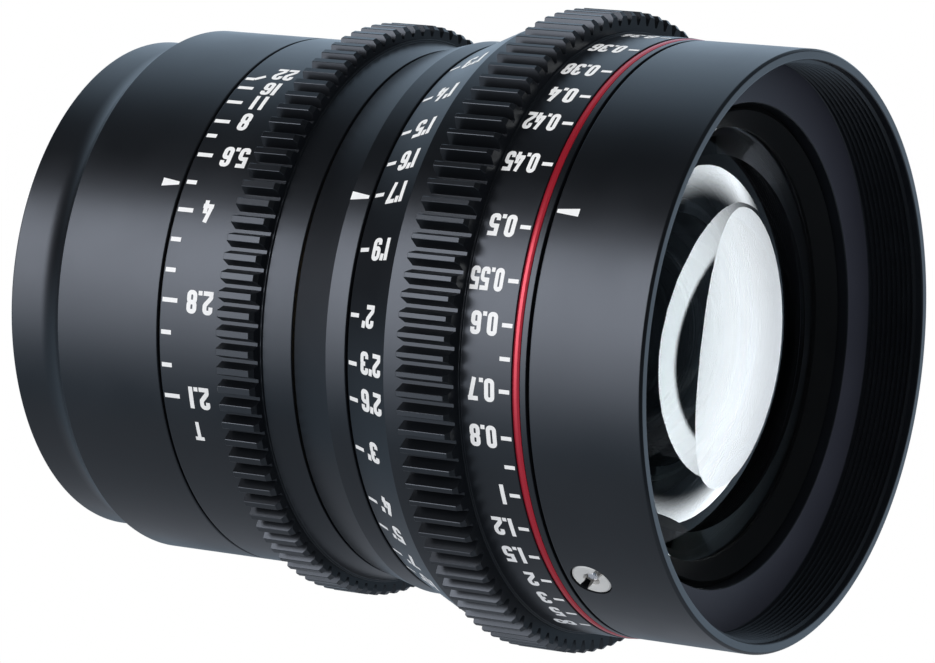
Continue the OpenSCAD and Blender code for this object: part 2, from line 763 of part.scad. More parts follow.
module front_spacer()
    spacer(rim_2_r - ring_lip, rim_2_r - ring_lip, rim_1_r, glass_at + lens_1[0], front_gap_len[0]);
module second_spacer()
    spacer(rim_3_r - ring_lip, rim_3_r - ring_lip, rim_3_r, glass_2_at + lens_2[0], front_gap_len[1]);
module third_spacer()
    spacer(rim_3_r - ring_lip, rim_3_r - ring_lip, rim_3_r, glass_3_at + lens_3[0], front_gap_len[2]);
module rear_spacer_1()
    spacer(rim_5_r - ring_lip, rim_5_r - ring_lip, rim_5_r, glass_5_at + lens_5[0], rear_gap_len[0]);
module rear_spacer_2()
    spacer(rim_5_r - ring_lip, rim_5_r - ring_lip, rim_5_r, glass_6_at + lens_6[0], rear_gap_len[1]);
module rear_spacer_3()
    spacer(rim_5_r - ring_lip, rim_8_r - ring_lip, rim_8_r, glass_7_end, rear_gap_len[2]);

module rear_cell()
    color(satin)
        revolve([[rim_5_r - ring_lip, base_end], [housing_r, base_end], [housing_r, base_end + cell_wall],
            [rear_cell_r, base_end + cell_wall], [rear_cell_r, rear_cell_end],
            [rim_8_r + seat_clear, rear_cell_end], [rim_8_r + seat_clear, glass_7_end],
            [rim_5_r + seat_clear, glass_7_end], [rim_5_r + seat_clear, glass_5_at],
            [rim_5_r - ring_lip, glass_5_at]]);

module rear_retaining_ring()
    color(black)
        tube(rim_8_r - ring_lip, rim_8_r, glass_8_end, rear_cell_end);

// Iris
module iris_housing() {
    half = iris_pin_r + group_travel + pass_clear;
    spare = (iris_pin_r + pass_clear) / housing_bore_r * 180 / PI;
    color(satin)
        difference() {
            revolve([[housing_bore_r, housing_at], [housing_r, housing_at], [housing_r, base_end],
                [aperture_r, base_end], [aperture_r, base_at], [housing_bore_r, base_at]]);
            arc_block(iris_pin_angle - iris_open_turn - spare, iris_pin_angle + iris_close_turn + spare,
                housing_bore_r - cut, housing_r + cut, max(iris_pin_at - half, housing_at + edge),
                min(iris_pin_at + half, base_at - edge));
            face_on(base_end + cut)
                for (i = [0 : blade_count - 1])
                    rotate(360 * i / blade_count)
                        translate([pivot_circle_r, 0])
                            cylinder(r = blade_pivot_r + running_clear, h = base_len + 2 * cut);
        }
}

module iris_cam_ring()
    color(steel)
        difference() {
            tube(cam_bore_r, cam_r, cam_at, cam_end);
            face_on(cam_end + cut)
                linear_extrude(cam_len + 2 * cut)
                    for (i = [0 : blade_count - 1])
                        rotate(360 * i / blade_count)
                            cam_slot();
            spoke(iris_pin_angle, cam_at - cut)
                translate([-iris_pin_r - running_clear, 0, notch_r])
                    cube([2 * (iris_pin_r + running_clear), cam_len + 2 * cut, outside]);
        }

// Slot that moves one blade's drive pin, drawn with the ring at rest
module cam_slot() {
    half = blade_pin_r + pin_hole_clear;
    spare = (half + pass_clear) / pivot_circle_r * 180 / PI;
    steps = 14;
    turns = [for (i = [0 : steps]) -spare + (iris_turn + 2 * spare) * i / steps];
    polygon([for (turn = turns) slot_point(turn, -half),
        for (i = [steps : -1 : 0]) slot_point(turns[i], half)]);
}

function slot_point(turn, side) =
    let (pin = blade_pin(turn * blade_ratio), angle = polar_angle(pin) - turn + iris_open_turn)
    (norm(pin) + side) * [cos(angle), sin(angle)];

module iris_blade(number) {
    front = blades_at + (number - 1) * blade_pitch;
    pivot_len = base_end - edge - front - blade_len;
    pin_len = front - cam_at - blade_gap;
    color(black)
        face_on(front + blade_len)
            rotate([0, 0, 360 * (number - 1) / blade_count])
                translate([pivot_circle_r, 0, 0])
                    rotate([0, 0, blade_rest]) {
                        linear_extrude(blade_len)
                            blade_outline();
                        translate([0, 0, -pivot_len])
                            cylinder(r = blade_pivot_r, h = pivot_len + blade_len);
                        translate([0, -blade_arm, 0])
                            cylinder(r = blade_pin_r, h = pin_len + blade_len);
                    }
}

// Outline of an open blade, with its pivot at the origin and the axis at -X
module blade_outline() {
    mid = (band_in + band_out) / 2;
    half = (band_out - band_in) / 2;
    web = (mid + band_in) / 2;
    ear = pad_ratio * blade_pivot_r;
    arm = pad_ratio * blade_pin_r;
    far = 2 * band_out;
    translate([-pivot_circle_r, 0]) {
        intersection() {
            difference() {
                circle(r = band_out);
                circle(r = band_in);
            }
            polygon([[0, 0], for (i = [0 : 2]) far * [cos(band_angle * i / 2), sin(band_angle * i / 2)]]);
        }
        translate(mid * [cos(band_angle), sin(band_angle)])
            circle(r = half);
        translate([web, -ear])
            square([pivot_circle_r - web, 2 * ear]);
    }
    circle(r = ear);
    translate([-arm, -blade_arm])
        square([2 * arm, blade_arm]);
    translate([0, -blade_arm])
        circle(r = arm);
}

module iris_blade_1() iris_blade(1);
module iris_blade_2() iris_blade(2);
module iris_blade_3() iris_blade(3);
module iris_blade_4() iris_blade(4);
module iris_blade_5() iris_blade(5);
module iris_blade_6() iris_blade(6);
module iris_blade_7() iris_blade(7);
module iris_blade_8() iris_blade(8);
module iris_blade_9() iris_blade(9);

front_barrel();
slotted_plug();
core_tube();
mid_barrel();
rear_barrel();
mount_collar();
bayonet_mount();
mount_screws();
rear_baffle();
helicoid_stop_ring();
helicoid_retainer();
guide_key();
focus_front_washer();
focus_rear_washer();
iris_front_washer();
iris_rear_washer();
focus_ring();
red_ring();
helicoid_sleeve();
focus_drive_pin();
iris_ring();
iris_drive_pin();
front_cell();
front_retaining_ring();
front_element();
front_spacer();
second_element();
second_spacer();
third_element();
third_spacer();
fourth_element();
iris_housing();
iris_cam_ring();
iris_blade_1();
iris_blade_2();
iris_blade_3();
iris_blade_4();
iris_blade_5();
iris_blade_6();
iris_blade_7();
iris_blade_8();
iris_blade_9();
rear_cell();
fifth_element();
rear_spacer_1();
sixth_element();
rear_spacer_2();
seventh_element();
rear_spacer_3();
rear_element();
rear_retaining_ring();
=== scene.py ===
"""Cinema prime lens: the look of the part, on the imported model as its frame.

Lengths of the part are in millimetres until spot() and the place functions turn them into
metres; the studio is in metres. A station is a distance behind the front rim, and an angle
grows from the top of the lens towards -X. A profile is a list of (radius, station).
"""
import json
import math
from collections import namedtuple

import bpy
import bmesh
from mathutils import Matrix, Vector


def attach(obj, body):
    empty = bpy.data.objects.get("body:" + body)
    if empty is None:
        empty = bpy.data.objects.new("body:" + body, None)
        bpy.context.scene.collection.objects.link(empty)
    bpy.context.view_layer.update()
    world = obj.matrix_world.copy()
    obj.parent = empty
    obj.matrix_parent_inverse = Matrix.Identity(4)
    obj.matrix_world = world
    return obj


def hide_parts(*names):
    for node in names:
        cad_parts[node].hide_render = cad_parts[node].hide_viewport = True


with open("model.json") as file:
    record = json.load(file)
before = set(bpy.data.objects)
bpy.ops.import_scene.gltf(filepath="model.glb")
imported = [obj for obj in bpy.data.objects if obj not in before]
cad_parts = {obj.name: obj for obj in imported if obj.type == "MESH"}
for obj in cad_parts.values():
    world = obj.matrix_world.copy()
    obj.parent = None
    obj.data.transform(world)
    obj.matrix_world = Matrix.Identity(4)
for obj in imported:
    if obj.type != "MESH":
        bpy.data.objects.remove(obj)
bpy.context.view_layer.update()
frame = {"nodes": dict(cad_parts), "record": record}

MM = 0.001
AROUND = 384
EVEN = [360.0 * i / AROUND for i in range(AROUND)]

# Radii and stations of the CAD that several pieces or marks share
LENGTH = 102.0
SEAT_R = 33.55
FRONT_R, THREAD_R, LEDGE_R = 40.0, 38.52, 32.3
METRE_R, FOOT_R, MID_R = 40.2, 41.2, 37.8
TAPER_R, REAR_R, COLLAR_R = 36.2, 36.4, 34.2
REAR_BORE, SPIGOT_R, THROAT_R = 27.0, 25.0, 23.6
LEDGE_START, LEDGE_END, FRONT_END = 8.3, 10.5, 16.4
FOCUS_START, GROOVE_START, GROOVE_END = 16.8, 17.7, 18.8
FOCUS_GEAR_START, FOCUS_GEAR_END = 26.65, 34.3
FOOT_START, FOCUS_END = 37.35, 45.0
MID_START, MID_TAPER, MID_END = 45.4, 48.4, 54.4
IRIS_START, IRIS_END = 54.8, 75.7
IRIS_GEAR_START, IRIS_GEAR_END = 59.05, 64.7
REAR_START, REAR_END = 76.1, 92.5
PLATE_START, SPIGOT_END = 100.0, 106.7


def spot(radius, station, angle):
    turn = math.radians(angle)
    return Vector((-radius * math.sin(turn), station - LENGTH, radius * math.cos(turn))) * MM


def station_of(face):
    return face.center.y / MM + LENGTH


# Materials

NOISE_LOW, NOISE_HIGH = 0.3, 0.7
GRAIN_DEPTH = 0.00001


def new_material(name):
    material = bpy.data.materials.new(name)
    material.use_nodes = True
    nodes = material.node_tree.nodes
    shader = nodes["Principled BSDF"]
    place = nodes.new("ShaderNodeTexCoord")
    return material, nodes, material.node_tree.links, shader, place.outputs["Object"]


def noise(nodes, links, place, scale, detail):
    texture = nodes.new("ShaderNodeTexNoise")
    texture.inputs["Scale"].default_value = scale
    texture.inputs["Detail"].default_value = detail
    links.new(place, texture.inputs["Vector"])
    return texture.outputs["Fac"]


def ramp(nodes, links, value, low, high):
    """A colour between two, over the range that a noise mostly fills"""
    colours = nodes.new("ShaderNodeValToRGB")
    colours.color_ramp.elements[0].position = NOISE_LOW
    colours.color_ramp.elements[1].position = NOISE_HIGH
    colours.color_ramp.elements[0].color = (*low, 1.0)
    colours.color_ramp.elements[1].color = (*high, 1.0)
    links.new(value, colours.inputs["Fac"])
    return colours.outputs["Color"]


def span(nodes, links, value, low, high):
    """A number between two, over the same range"""
    remap = nodes.new("ShaderNodeMapRange")
    remap.inputs["From Min"].default_value = NOISE_LOW
    remap.inputs["From Max"].default_value = NOISE_HIGH
    remap.inputs["To Min"].default_value = low
    remap.inputs["To Max"].default_value = high
    links.new(value, remap.inputs["Value"])
    return remap.outputs["Result"]


def bump(nodes, links, shader, height, strength):
    node = nodes.new("ShaderNodeBump")
    node.inputs["Strength"].default_value = strength
    node.inputs["Distance"].default_value = GRAIN_DEPTH
    links.new(height, node.inputs["Height"])
    links.new(node.outputs["Normal"], shader.inputs["Normal"])


def blasted_metal(name, low, high, rough, metallic=0.0, specular=0.5, tint=(1.0, 1.0, 1.0)):
    """Fine-blasted and anodised: a grain of about a tenth of a millimetre and cloudy gloss"""
    material, nodes, links, shader, place = new_material(name)
    shader.inputs["Metallic"].default_value = metallic
    shader.inputs["Specular IOR Level"].default_value = specular
    shader.inputs["Specular Tint"].default_value = (*tint, 1.0)
    cloud = noise(nodes, links, place, 60.0, 4.0)
    links.new(ramp(nodes, links, cloud, low, high), shader.inputs["Base Color"])
    links.new(span(nodes, links, cloud, *rough), shader.inputs["Roughness"])
    grain = noise(nodes, links, place, 5200.0, 2.0)
    bump(nodes, links, shader, grain, 0.25)
    return material


def turned_metal(name, low, high, rough):
    """Turned on a lathe: fine rings about the optical axis"""
    material, nodes, links, shader, place = new_material(name)
    shader.inputs["Metallic"].default_value = 1.0
    apart = nodes.new("ShaderNodeSeparateXYZ")
    links.new(place, apart.inputs["Vector"])
    flat = nodes.new("ShaderNodeCombineXYZ")
    links.new(apart.outputs["X"], flat.inputs["X"])
    links.new(apart.outputs["Z"], flat.inputs["Y"])
    distance = nodes.new("ShaderNodeVectorMath")
    distance.operation = "LENGTH"
    links.new(flat.outputs["Vector"], distance.inputs[0])
    ring = nodes.new("ShaderNodeCombineXYZ")
    links.new(distance.outputs["Value"], ring.inputs["X"])
    links.new(apart.outputs["Y"], ring.inputs["Y"])
    grooves = noise(nodes, links, ring.outputs["Vector"], 9000.0, 2.0)
    cloud = noise(nodes, links, place, 90.0, 3.0)
    links.new(ramp(nodes, links, cloud, low, high), shader.inputs["Base Color"])
    links.new(span(nodes, links, grooves, *rough), shader.inputs["Roughness"])
    bump(nodes, links, shader, grooves, 0.2)
    return material


def painted(name, low, high, rough):
    """Thin enamel filled into an engraving"""
    material, nodes, links, shader, place = new_material(name)
    cloud = noise(nodes, links, place, 700.0, 3.0)
    links.new(ramp(nodes, links, cloud, low, high), shader.inputs["Base Color"])
    links.new(span(nodes, links, cloud, *rough), shader.inputs["Roughness"])
    return material


def coated_glass(name, low, high, gloss):
    """Polished glass; the coat's faint tint drifts over the surface"""
    material, nodes, links, shader, place = new_material(name)
    shader.inputs["Transmission Weight"].default_value = 1.0
    shader.inputs["IOR"].default_value = 1.6
    shader.inputs["Specular Tint"].default_value = (*gloss, 1.0)
    shader.inputs["Roughness"].default_value = 0.0
    drift = noise(nodes, links, place, 25.0, 1.0)
    links.new(ramp(nodes, links, drift, low, high), shader.inputs["Base Color"])
    return material


ANODISED_TINT = (0.86, 0.94, 1.0)
BLACK = blasted_metal("black_anodised", (0.0036, 0.0044, 0.006), (0.0052, 0.0062, 0.0084),
    (0.28, 0.36), specular=0.45, tint=ANODISED_TINT)
INNER = blasted_metal("matte_black_inside", (0.0024, 0.0027, 0.0032), (0.004, 0.0044, 0.005),
    (0.58, 0.7), specular=0.12, tint=ANODISED_TINT)
RED = blasted_metal("red_anodised", (0.36, 0.008, 0.022), (0.45, 0.012, 0.03), (0.26, 0.34), metallic=0.35)
STEEL = turned_metal("bright_steel", (0.56, 0.56, 0.57), (0.68, 0.68, 0.69), (0.2, 0.34))
BRASS = turned_metal("turned_brass", (0.45, 0.33, 0.13), (0.55, 0.42, 0.18), (0.25, 0.4))
BLADE = turned_metal("blackened_blade", (0.02, 0.02, 0.023), (0.035, 0.035, 0.04), (0.32, 0.46))
# The ledge inside the front barrel is the same black anodising, with a matte finish. Its lighter, bluish base
# colour is a painted sheen: it stands in for light that the recessed ledge would reflect.
LEDGE_PAINTED_SHEEN = blasted_metal("matte_ledge_painted_sheen", (0.025, 0.028, 0.042), (0.032, 0.035, 0.052),
    (0.55, 0.65), specular=0.3)
PLASTIC = blasted_metal("matte_plastic", (0.008, 0.008, 0.008), (0.014, 0.014, 0.014),
    (0.55, 0.7), specular=0.35)
PLUG = blasted_metal("bright_plug", (0.7, 0.69, 0.66), (0.78, 0.77, 0.74), (0.4, 0.5), metallic=0.35)
WHITE = painted("white_enamel", (0.88, 0.88, 0.88), (0.94, 0.94, 0.94), (0.45, 0.6))
GLASS = coated_glass("coated_glass", (0.93, 0.97, 0.95), (0.97, 0.97, 1.0), (0.22, 0.25, 0.25))
INSIDE_GLASS = coated_glass("inside_glass", (0.9, 0.93, 0.9), (0.94, 0.93, 0.95), (0.03, 0.025, 0.04))
SHADES = {"black_metal": BLACK, "inner_metal": INNER, "steel": STEEL, "brass": BRASS, "red_anodised": RED,
    "blade_steel": BLADE, "black_plastic": PLASTIC, "glass": GLASS}


# Meshes

def mesh_object(name, vertices, faces):
    mesh = bpy.data.meshes.new(name)
    mesh.from_pydata([tuple(v) for v in vertices], [], faces)
    work = bmesh.new()
    work.from_mesh(mesh)
    bmesh.ops.recalc_face_normals(work, faces=work.faces)
    work.to_mesh(mesh)
    work.free()
    thing = bpy.data.objects.new(name, mesh)
    bpy.context.scene.collection.objects.link(thing)
    return thing


def shade(mesh, sharp):
    mesh.shade_smooth()
    mesh.set_sharp_from_angle(angle=math.radians(sharp))


def add_piece(name, vertices, faces, body, material, slot, nodes=(), sharp=32.0):
    piece = mesh_object(name, vertices, faces)
    shade(piece.data, sharp)
    piece.data.materials.append(material)
    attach(piece, body)
    if nodes:
        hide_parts(*nodes)
    return piece


def cut_away(piece, tools, operation="DIFFERENCE"):
    """Applies cutting or added solids to a piece and removes them"""
    for tool in tools:
        modifier = piece.modifiers.new(tool.name, "BOOLEAN")
        modifier.operation = operation
        modifier.solver = "EXACT"
        modifier.object = tool
    view = bpy.context.evaluated_depsgraph_get()
    mesh = bpy.data.meshes.new_from_object(piece.evaluated_get(view))
    piece.modifiers.clear()
    piece.data = mesh
    for tool in tools:
        bpy.data.objects.remove(tool)
    shade(mesh, 30.0)


def join_rows(rows, closed=True):
    """Faces between rows of points that run round the axis"""
    count = len(rows[0])
    vertices = [point for row in rows for point in row]
    faces = []
    for i in range(len(rows) if closed else len(rows) - 1):
        here = i * count
        there = (i + 1) % len(rows) * count
        for j in range(count):
            k = (j + 1) % count
            faces.append((here + j, here + k, there + k, there + j))
    return vertices, faces


def soften(profile, radius, steps=3, closed=True):
    """A profile with its corners rounded, and a point beside each arc that holds the flat"""
    hold, least_hold = 0.05, 0.004
    nearly_straight = math.radians(84)
    result = []
    for i, corner in enumerate(profile):
        here = Vector(corner)
        if not closed and i in (0, len(profile) - 1):
            result.append(corner)
            continue
        back = Vector(profile[i - 1]) - here
        ahead = Vector(profile[(i + 1) % len(profile)]) - here
        room = min(back.length, ahead.length)
        half = back.angle(ahead) / 2
        back.normalize()
        ahead.normalize()
        if half > nearly_straight or room < 1e-6:
            result.append(corner)
            continue
        reach = min(radius / math.tan(half), 0.42 * room)
        middle = here + (back + ahead).normalized() * (reach / math.cos(half))
        start = here + back * reach - middle
        end = here + ahead * reach - middle
        pad = min(hold, 0.3 * (room - 2 * reach))
        if pad > least_hold:
            result.append(tuple(middle + start + back * pad))
        for step in range(steps + 1):
            arm = start.lerp(end, step / steps)
            result.append(tuple(middle + arm.normalized() * start.length))
        if pad > least_hold:
            result.append(tuple(middle + end + ahead * pad))
    return result


def ring_row(radius, station, angles):
    return [spot(radius, station, angle) for angle in angles]


def lathe(name, profile, edge, body, material, slot, node):
    """A turned ring whose edges are rounded with a radius"""
    rows = [ring_row(r, s, EVEN) for r, s in soften(profile, edge)]
    return add_piece(name, *join_rows(rows), body, material, slot, [node])


# Toothed rings

MODULE = 0.8
ROOT_DEPTH = 1.25 * MODULE
PRESSURE = math.tan(math.radians(20.0))
TOOTH_CHAMFER = 0.55
RING_EDGE = 0.1
Gear = namedtuple("Gear", "teeth phase start end trim")


def flank_offset(teeth, radius):
    """Angle from the middle of a gap to the flank at a radius"""
    pitch = MODULE * teeth / 2
    low = pitch - ROOT_DEPTH

    def half_gap(x):
        return math.pi * x / teeth - (math.pi * MODULE / 4 - (x - pitch) * PRESSURE)

    x = low
    for _ in range(30):
        y = half_gap(x)
        x = max(low, math.sqrt(max(radius * radius - y * y, low * low)))
    return math.degrees(math.atan2(half_gap(x), x))


def tooth_row(gear, station, top):
    """One row of a toothed ring whose teeth reach up to a radius"""
    low = MODULE * gear.teeth / 2 - ROOT_DEPTH
    soft = 0.05
    half = 180.0 / gear.teeth
    tip = half - flank_offset(gear.teeth, top) - math.degrees(soft / top)
    shoulder = half - flank_offset(gear.teeth, top - soft)
    root = half - flank_offset(gear.teeth, low)
    row = []
    for i in range(gear.teeth):
        middle = gear.phase + 360.0 * i / gear.teeth
        for angle, radius in ((-root, low), (-shoulder, top - soft), (-tip, top),
                (tip, top), (shoulder, top - soft), (root, low)):
            row.append(spot(radius, station, middle + angle))
    return row


def tooth_angles(gear):
    """Angles of the plain bands' points, as many for each tooth as tooth_row has"""
    half = 180.0 / gear.teeth
    return [gear.phase + 360.0 * i / gear.teeth + half * share
        for i in range(gear.teeth) for share in (-0.72, -0.42, -0.2, 0.2, 0.42, 0.72)]


def toothed_ring(name, front, gear, rear, body, node):
    """A ring with plain bands in front of and behind its gear"""
    tip = MODULE * gear.teeth / 2 + MODULE - gear.trim
    angles = tooth_angles(gear)
    rows = [ring_row(r, s, angles) for r, s in soften(front, RING_EDGE, closed=False)]
    rows.append(tooth_row(gear, gear.start, tip - TOOTH_CHAMFER))
    rows.append(tooth_row(gear, gear.start + TOOTH_CHAMFER, tip))
    rows.append(tooth_row(gear, gear.end - RING_EDGE, tip))
    rows.append(tooth_row(gear, gear.end, tip - RING_EDGE))
    rows += [ring_row(r, s, angles) for r, s in soften(rear, RING_EDGE, closed=False)]
    return add_piece(name, *join_rows(rows), body, BLACK, "black_metal", [node], 30.0)


# Fixed barrel

RIM_CHAMFER = 0.32
barrel_piece = lathe("front_barrel_shell",
    [(THREAD_R, 0.0), (FRONT_R - RIM_CHAMFER, 0.0), (FRONT_R, RIM_CHAMFER), (FRONT_R, FRONT_END),
        (SEAT_R, FRONT_END), (SEAT_R, LEDGE_END), (LEDGE_R, LEDGE_END), (LEDGE_R, LEDGE_START),
        (THREAD_R, LEDGE_START)],
    0.22, "barrel", BLACK, "black_metal", "front_barrel")
lathe("mid_barrel_shell",
    [(SEAT_R, MID_START), (MID_R, MID_START), (MID_R, MID_TAPER), (TAPER_R, MID_END), (SEAT_R, MID_END)],
    0.16, "barrel", BLACK, "black_metal", "mid_barrel")
REAR_SHOULDER = 90.15
lathe("rear_barrel_shell",
    [(SEAT_R, REAR_START), (REAR_R, REAR_START), (REAR_R, REAR_END), (REAR_BORE, REAR_END),
        (REAR_BORE, REAR_SHOULDER), (SEAT_R, REAR_SHOULDER)],
    0.18, "barrel", BLACK, "black_metal", "rear_barrel")


def collar_fillet(length, rise, steps):
    """The arc from the rear barrel down to the collar, which it meets without an edge"""
    sweep = 2 * math.atan(rise / length)
    radius = length / math.sin(sweep)
    turns = [sweep * i / steps for i in range(steps, -1, -1)]
    return [(COLLAR_R + radius * (1 - math.cos(turn)), REAR_END + length - radius * math.sin(turn))
        for turn in turns]


COLLAR_END, PLATE_SEAT_R = 101.8, 32.05
lathe("mount_collar_shell",
    [(REAR_BORE, REAR_END), *collar_fillet(4.5, 1.95, 16), (COLLAR_R, COLLAR_END),
        (PLATE_SEAT_R, COLLAR_END), (PLATE_SEAT_R, PLATE_START), (REAR_BORE, PLATE_START)],
    0.2, "barrel", BLACK, "black_metal", "mount_collar")
BAFFLE_R, BAFFLE_END = 23.55, 101.75
lathe("rear_baffle_plate",
    [(18.7, PLATE_START), (BAFFLE_R, PLATE_START), (BAFFLE_R, BAFFLE_END), (20.2, BAFFLE_END), (18.7, 101.0)],
    0.1, "barrel", PLASTIC, "black_plastic", "rear_baffle")


def thread_ridge(name, crest, foot, start, end, pitch, body):
    """A helical ridge inside the front barrel that fades over a quarter turn at each end"""
    turns = (end - start) / pitch
    steps = int(240 * turns)
    section = ((foot, -0.32), (crest, -0.06), (crest, 0.06), (foot, 0.32))
    vertices = []
    faces = []
    for i in range(steps + 1):
        share = i / steps
        fade = min(1.0, share * turns * 4, (1 - share) * turns * 4)
        for radius, across in section:
            depth = foot + (radius - foot) * fade
            vertices.append(spot(depth, start + (end - start) * share + across * fade, 360.0 * turns * share))
    points = len(section)
    for i in range(steps):
        for j in range(points - 1):
            a = points * i + j
            faces.append((a, a + 1, a + points + 1, a + points))
    return add_piece(name, vertices, faces, body, BLACK, "black_metal", sharp=25.0)


ridge = thread_ridge("filter_thread_ridge", 38.1, 38.53, 0.75, 7.9, 0.75, "barrel")

# Focus ring and iris ring

GROOVE_R = 39.5
toothed_ring("focus_ring_shell",
    [(SEAT_R, FOCUS_START), (FRONT_R, FOCUS_START), (FRONT_R, GROOVE_START), (GROOVE_R, GROOVE_START),
        (GROOVE_R, GROOVE_END), (METRE_R, GROOVE_END), (METRE_R, 26.35), (40.5, 26.35),
        (40.5, FOCUS_GEAR_START)],
    Gear(106, 0.6, FOCUS_GEAR_START, FOCUS_GEAR_END, 0.0),
    [(FOOT_R, FOCUS_GEAR_END), (FOOT_R, FOOT_START), (MID_R, FOCUS_END), (SEAT_R, FOCUS_END)],
    "focus_ring", "focus_ring")
lathe("red_ring_band",
    [(39.55, 17.75), (FRONT_R, 17.75), (40.12, 18.05), (40.12, 18.45), (FRONT_R, 18.75), (39.55, 18.75)],
    0.05, "focus_ring", RED, "red_anodised", "red_ring")
toothed_ring("iris_ring_shell",
    [(SEAT_R, IRIS_START), (TAPER_R, IRIS_START), (37.1, 58.75), (37.4, 58.75), (37.4, IRIS_GEAR_START)],
    Gear(97, 0.8, IRIS_GEAR_START, IRIS_GEAR_END, 0.3),
    [(REAR_R, IRIS_GEAR_END), (REAR_R, IRIS_END), (SEAT_R, IRIS_END)],
    "iris_ring", "iris_ring")

# Glass and its cells

FRONT_GLASS_AT = 12.0


def sag(radius, half_width):
    return abs(radius) - math.sqrt(radius * radius - half_width * half_width)


def element(name, node, rim, station, thickness, front, rear, rear_bevel):
    """A lens with spherical faces; a positive radius has its centre behind the face"""
    rings, count = 28, 192
    front_bevel, edge = 1.1, 0.1
    front_clear = rim - front_bevel
    rear_clear = rim - rear_bevel
    front_side = math.copysign(1, front)
    rear_side = math.copysign(1, rear)
    back = station + thickness

    def front_station(radius):
        return station - front_side * (sag(front, front_clear) - sag(front, radius))

    def rear_station(radius):
        return back - rear_side * (sag(rear, rear_clear) - sag(rear, radius))

    front_radii = [front_clear * i / rings for i in range(1, rings + 1)]
    rear_radii = [rear_clear * i / rings for i in range(rings, 0, -1)]
    profile = [(r, front_station(r)) for r in front_radii]
    profile += [(rim - edge, station), (rim, station + edge), (rim, back - edge), (rim - edge, back)]
    profile += [(r, rear_station(r)) for r in rear_radii]
    angles = [360.0 * i / count for i in range(count)]
    vertices, faces = join_rows([ring_row(r, s, angles) for r, s in profile], closed=False)
    front_tip = len(vertices)
    vertices.append(spot(0.0, front_station(0.0), 0.0))
    vertices.append(spot(0.0, rear_station(0.0), 0.0))
    last = (len(profile) - 1) * count
    for j in range(count):
        k = (j + 1) % count
        faces.append((front_tip, k, j))
        faces.append((front_tip + 1, last + j, last + k))
    return add_piece(name, vertices, faces, "lens_group", INSIDE_GLASS, "glass", [node], 25.0)


front_glass = element("front_glass", "front_element", 30.0, FRONT_GLASS_AT, 5.49, 68.1, 33.0, 6.51)
front_glass.data.materials.append(GLASS)
for face in front_glass.data.polygons:
    if station_of(face) < FRONT_GLASS_AT + 0.05:
        face.material_index = 1
element("second_glass", "second_element", 23.01, 19.98, 4.993, 59.826, 23.93, 5.522)
element("third_glass", "third_element", 19.5, 30.975, 7.5075, -70.2, 39.975, 3.51)
element("fourth_glass", "fourth_element", 19.5, 42.983, 3.9975, 31.98, -54.99, 1.95)
lathe("front_retainer",
    [(28.9, FRONT_GLASS_AT), (28.9, 11.5), (31.3, 9.4), (31.55, 9.65), (31.55, 11.0), (30.0, 11.0),
        (30.0, FRONT_GLASS_AT)],
    0.06, "lens_group", INNER, "black_metal", "front_retaining_ring")

# Bayonet, screws and plug


def solid(profile, count, place):
    """A turned solid on the axis of a small part: profile of (radius, height), closed at its ends"""
    turns = [2 * math.pi * j / count for j in range(count)]
    rows = [[place(r * math.cos(turn), r * math.sin(turn), h) for turn in turns] for r, h in profile]
    vertices, faces = join_rows(rows, closed=False)
    faces.append(tuple(range(count)))
    last = (len(rows) - 1) * count
    faces.append(tuple(last + j for j in range(count)))
    return vertices, faces


def box_solid(place, x, y, h):
    corners = [place(a, b, c) for c in h for b in y for a in x]
    faces = [(0, 1, 3, 2), (4, 6, 7, 5), (0, 4, 5, 1), (2, 3, 7, 6), (0, 2, 6, 4), (1, 5, 7, 3)]
    return corners, faces


def directions(angle):
    """Outwards along the radius, and round the axis"""
    turn = math.radians(angle)
    return (Vector((-math.sin(turn), 0.0, math.cos(turn))), Vector((-math.cos(turn), 0.0, -math.sin(turn))))


def radial_place(angle, station, base):
    """Local height points outwards along the radius, local x to the rear, local y round the barrel"""
    out, side = directions(angle)
    rear = Vector((0.0, 1.0, 0.0))
    origin = Vector((0.0, station - LENGTH, 0.0))
    return lambda x, y, h: (origin + out * (base + h) + rear * x + side * y) * MM


def rear_place(radius, angle):
    """Local height points to the rear from a point of the flange's face"""
    out, side = directions(angle)
    return lambda x, y, h: (out * (radius + x) + side * y + Vector((0.0, h, 0.0))) * MM


SLANT = math.sqrt(0.5)
plug_place = radial_place(131.0, 12.8, 38.0)


def slot_place(x, y, h):
    """The plug's place, turned by 45 degrees"""
    return plug_place((x + y) * SLANT, (y - x) * SLANT, h)


plug_head = [(2.8, 0.0), (2.8, 1.55), (2.72, 1.75), (2.5, 1.875), (1.25, 1.84), (1.0, 1.7)]
plug = add_piece("slotted_plug_head", *solid(plug_head, 64, plug_place),
    "barrel", PLUG, "steel", ["slotted_plug"])
cut_away(plug, [
    mesh_object("plug_hole", *solid([(1.15, 0.4), (1.15, 3.0)], 32, plug_place)),
    mesh_object("plug_slot", *box_solid(slot_place, (-0.55, 0.55), (-4.0, 4.0), (0.4, 4.0)))])
plug_screw = [(0.8, 0.3), (0.8, 1.2), (0.65, 1.38), (0.25, 1.45)]
add_piece("plug_screw", *solid(plug_screw, 32, plug_place), "barrel", STEEL, "steel")
cut_away(barrel_piece, [mesh_object("plug_seat", *solid([(2.9, 0.0), (2.9, 6.0)], 64, plug_place))])
# The ledge's forward faces get the lighter material: a painted sheen on the recessed ledge
barrel_piece.data.materials.append(LEDGE_PAINTED_SHEEN)
for face in barrel_piece.data.polygons:
    inside = math.hypot(face.center.x, face.center.z) < 38.4 * MM
    if inside and abs(station_of(face) - LEDGE_START) < 0.02:
        face.material_index = 1

PLATE_R = 32.0
bayonet = lathe("bayonet_plate",
    [(THROAT_R, PLATE_START), (PLATE_R, PLATE_START), (PLATE_R, LENGTH), (SPIGOT_R, LENGTH),
        (SPIGOT_R, SPIGOT_END), (THROAT_R, SPIGOT_END)],
    0.15, "barrel", STEEL, "steel", "bayonet_mount")


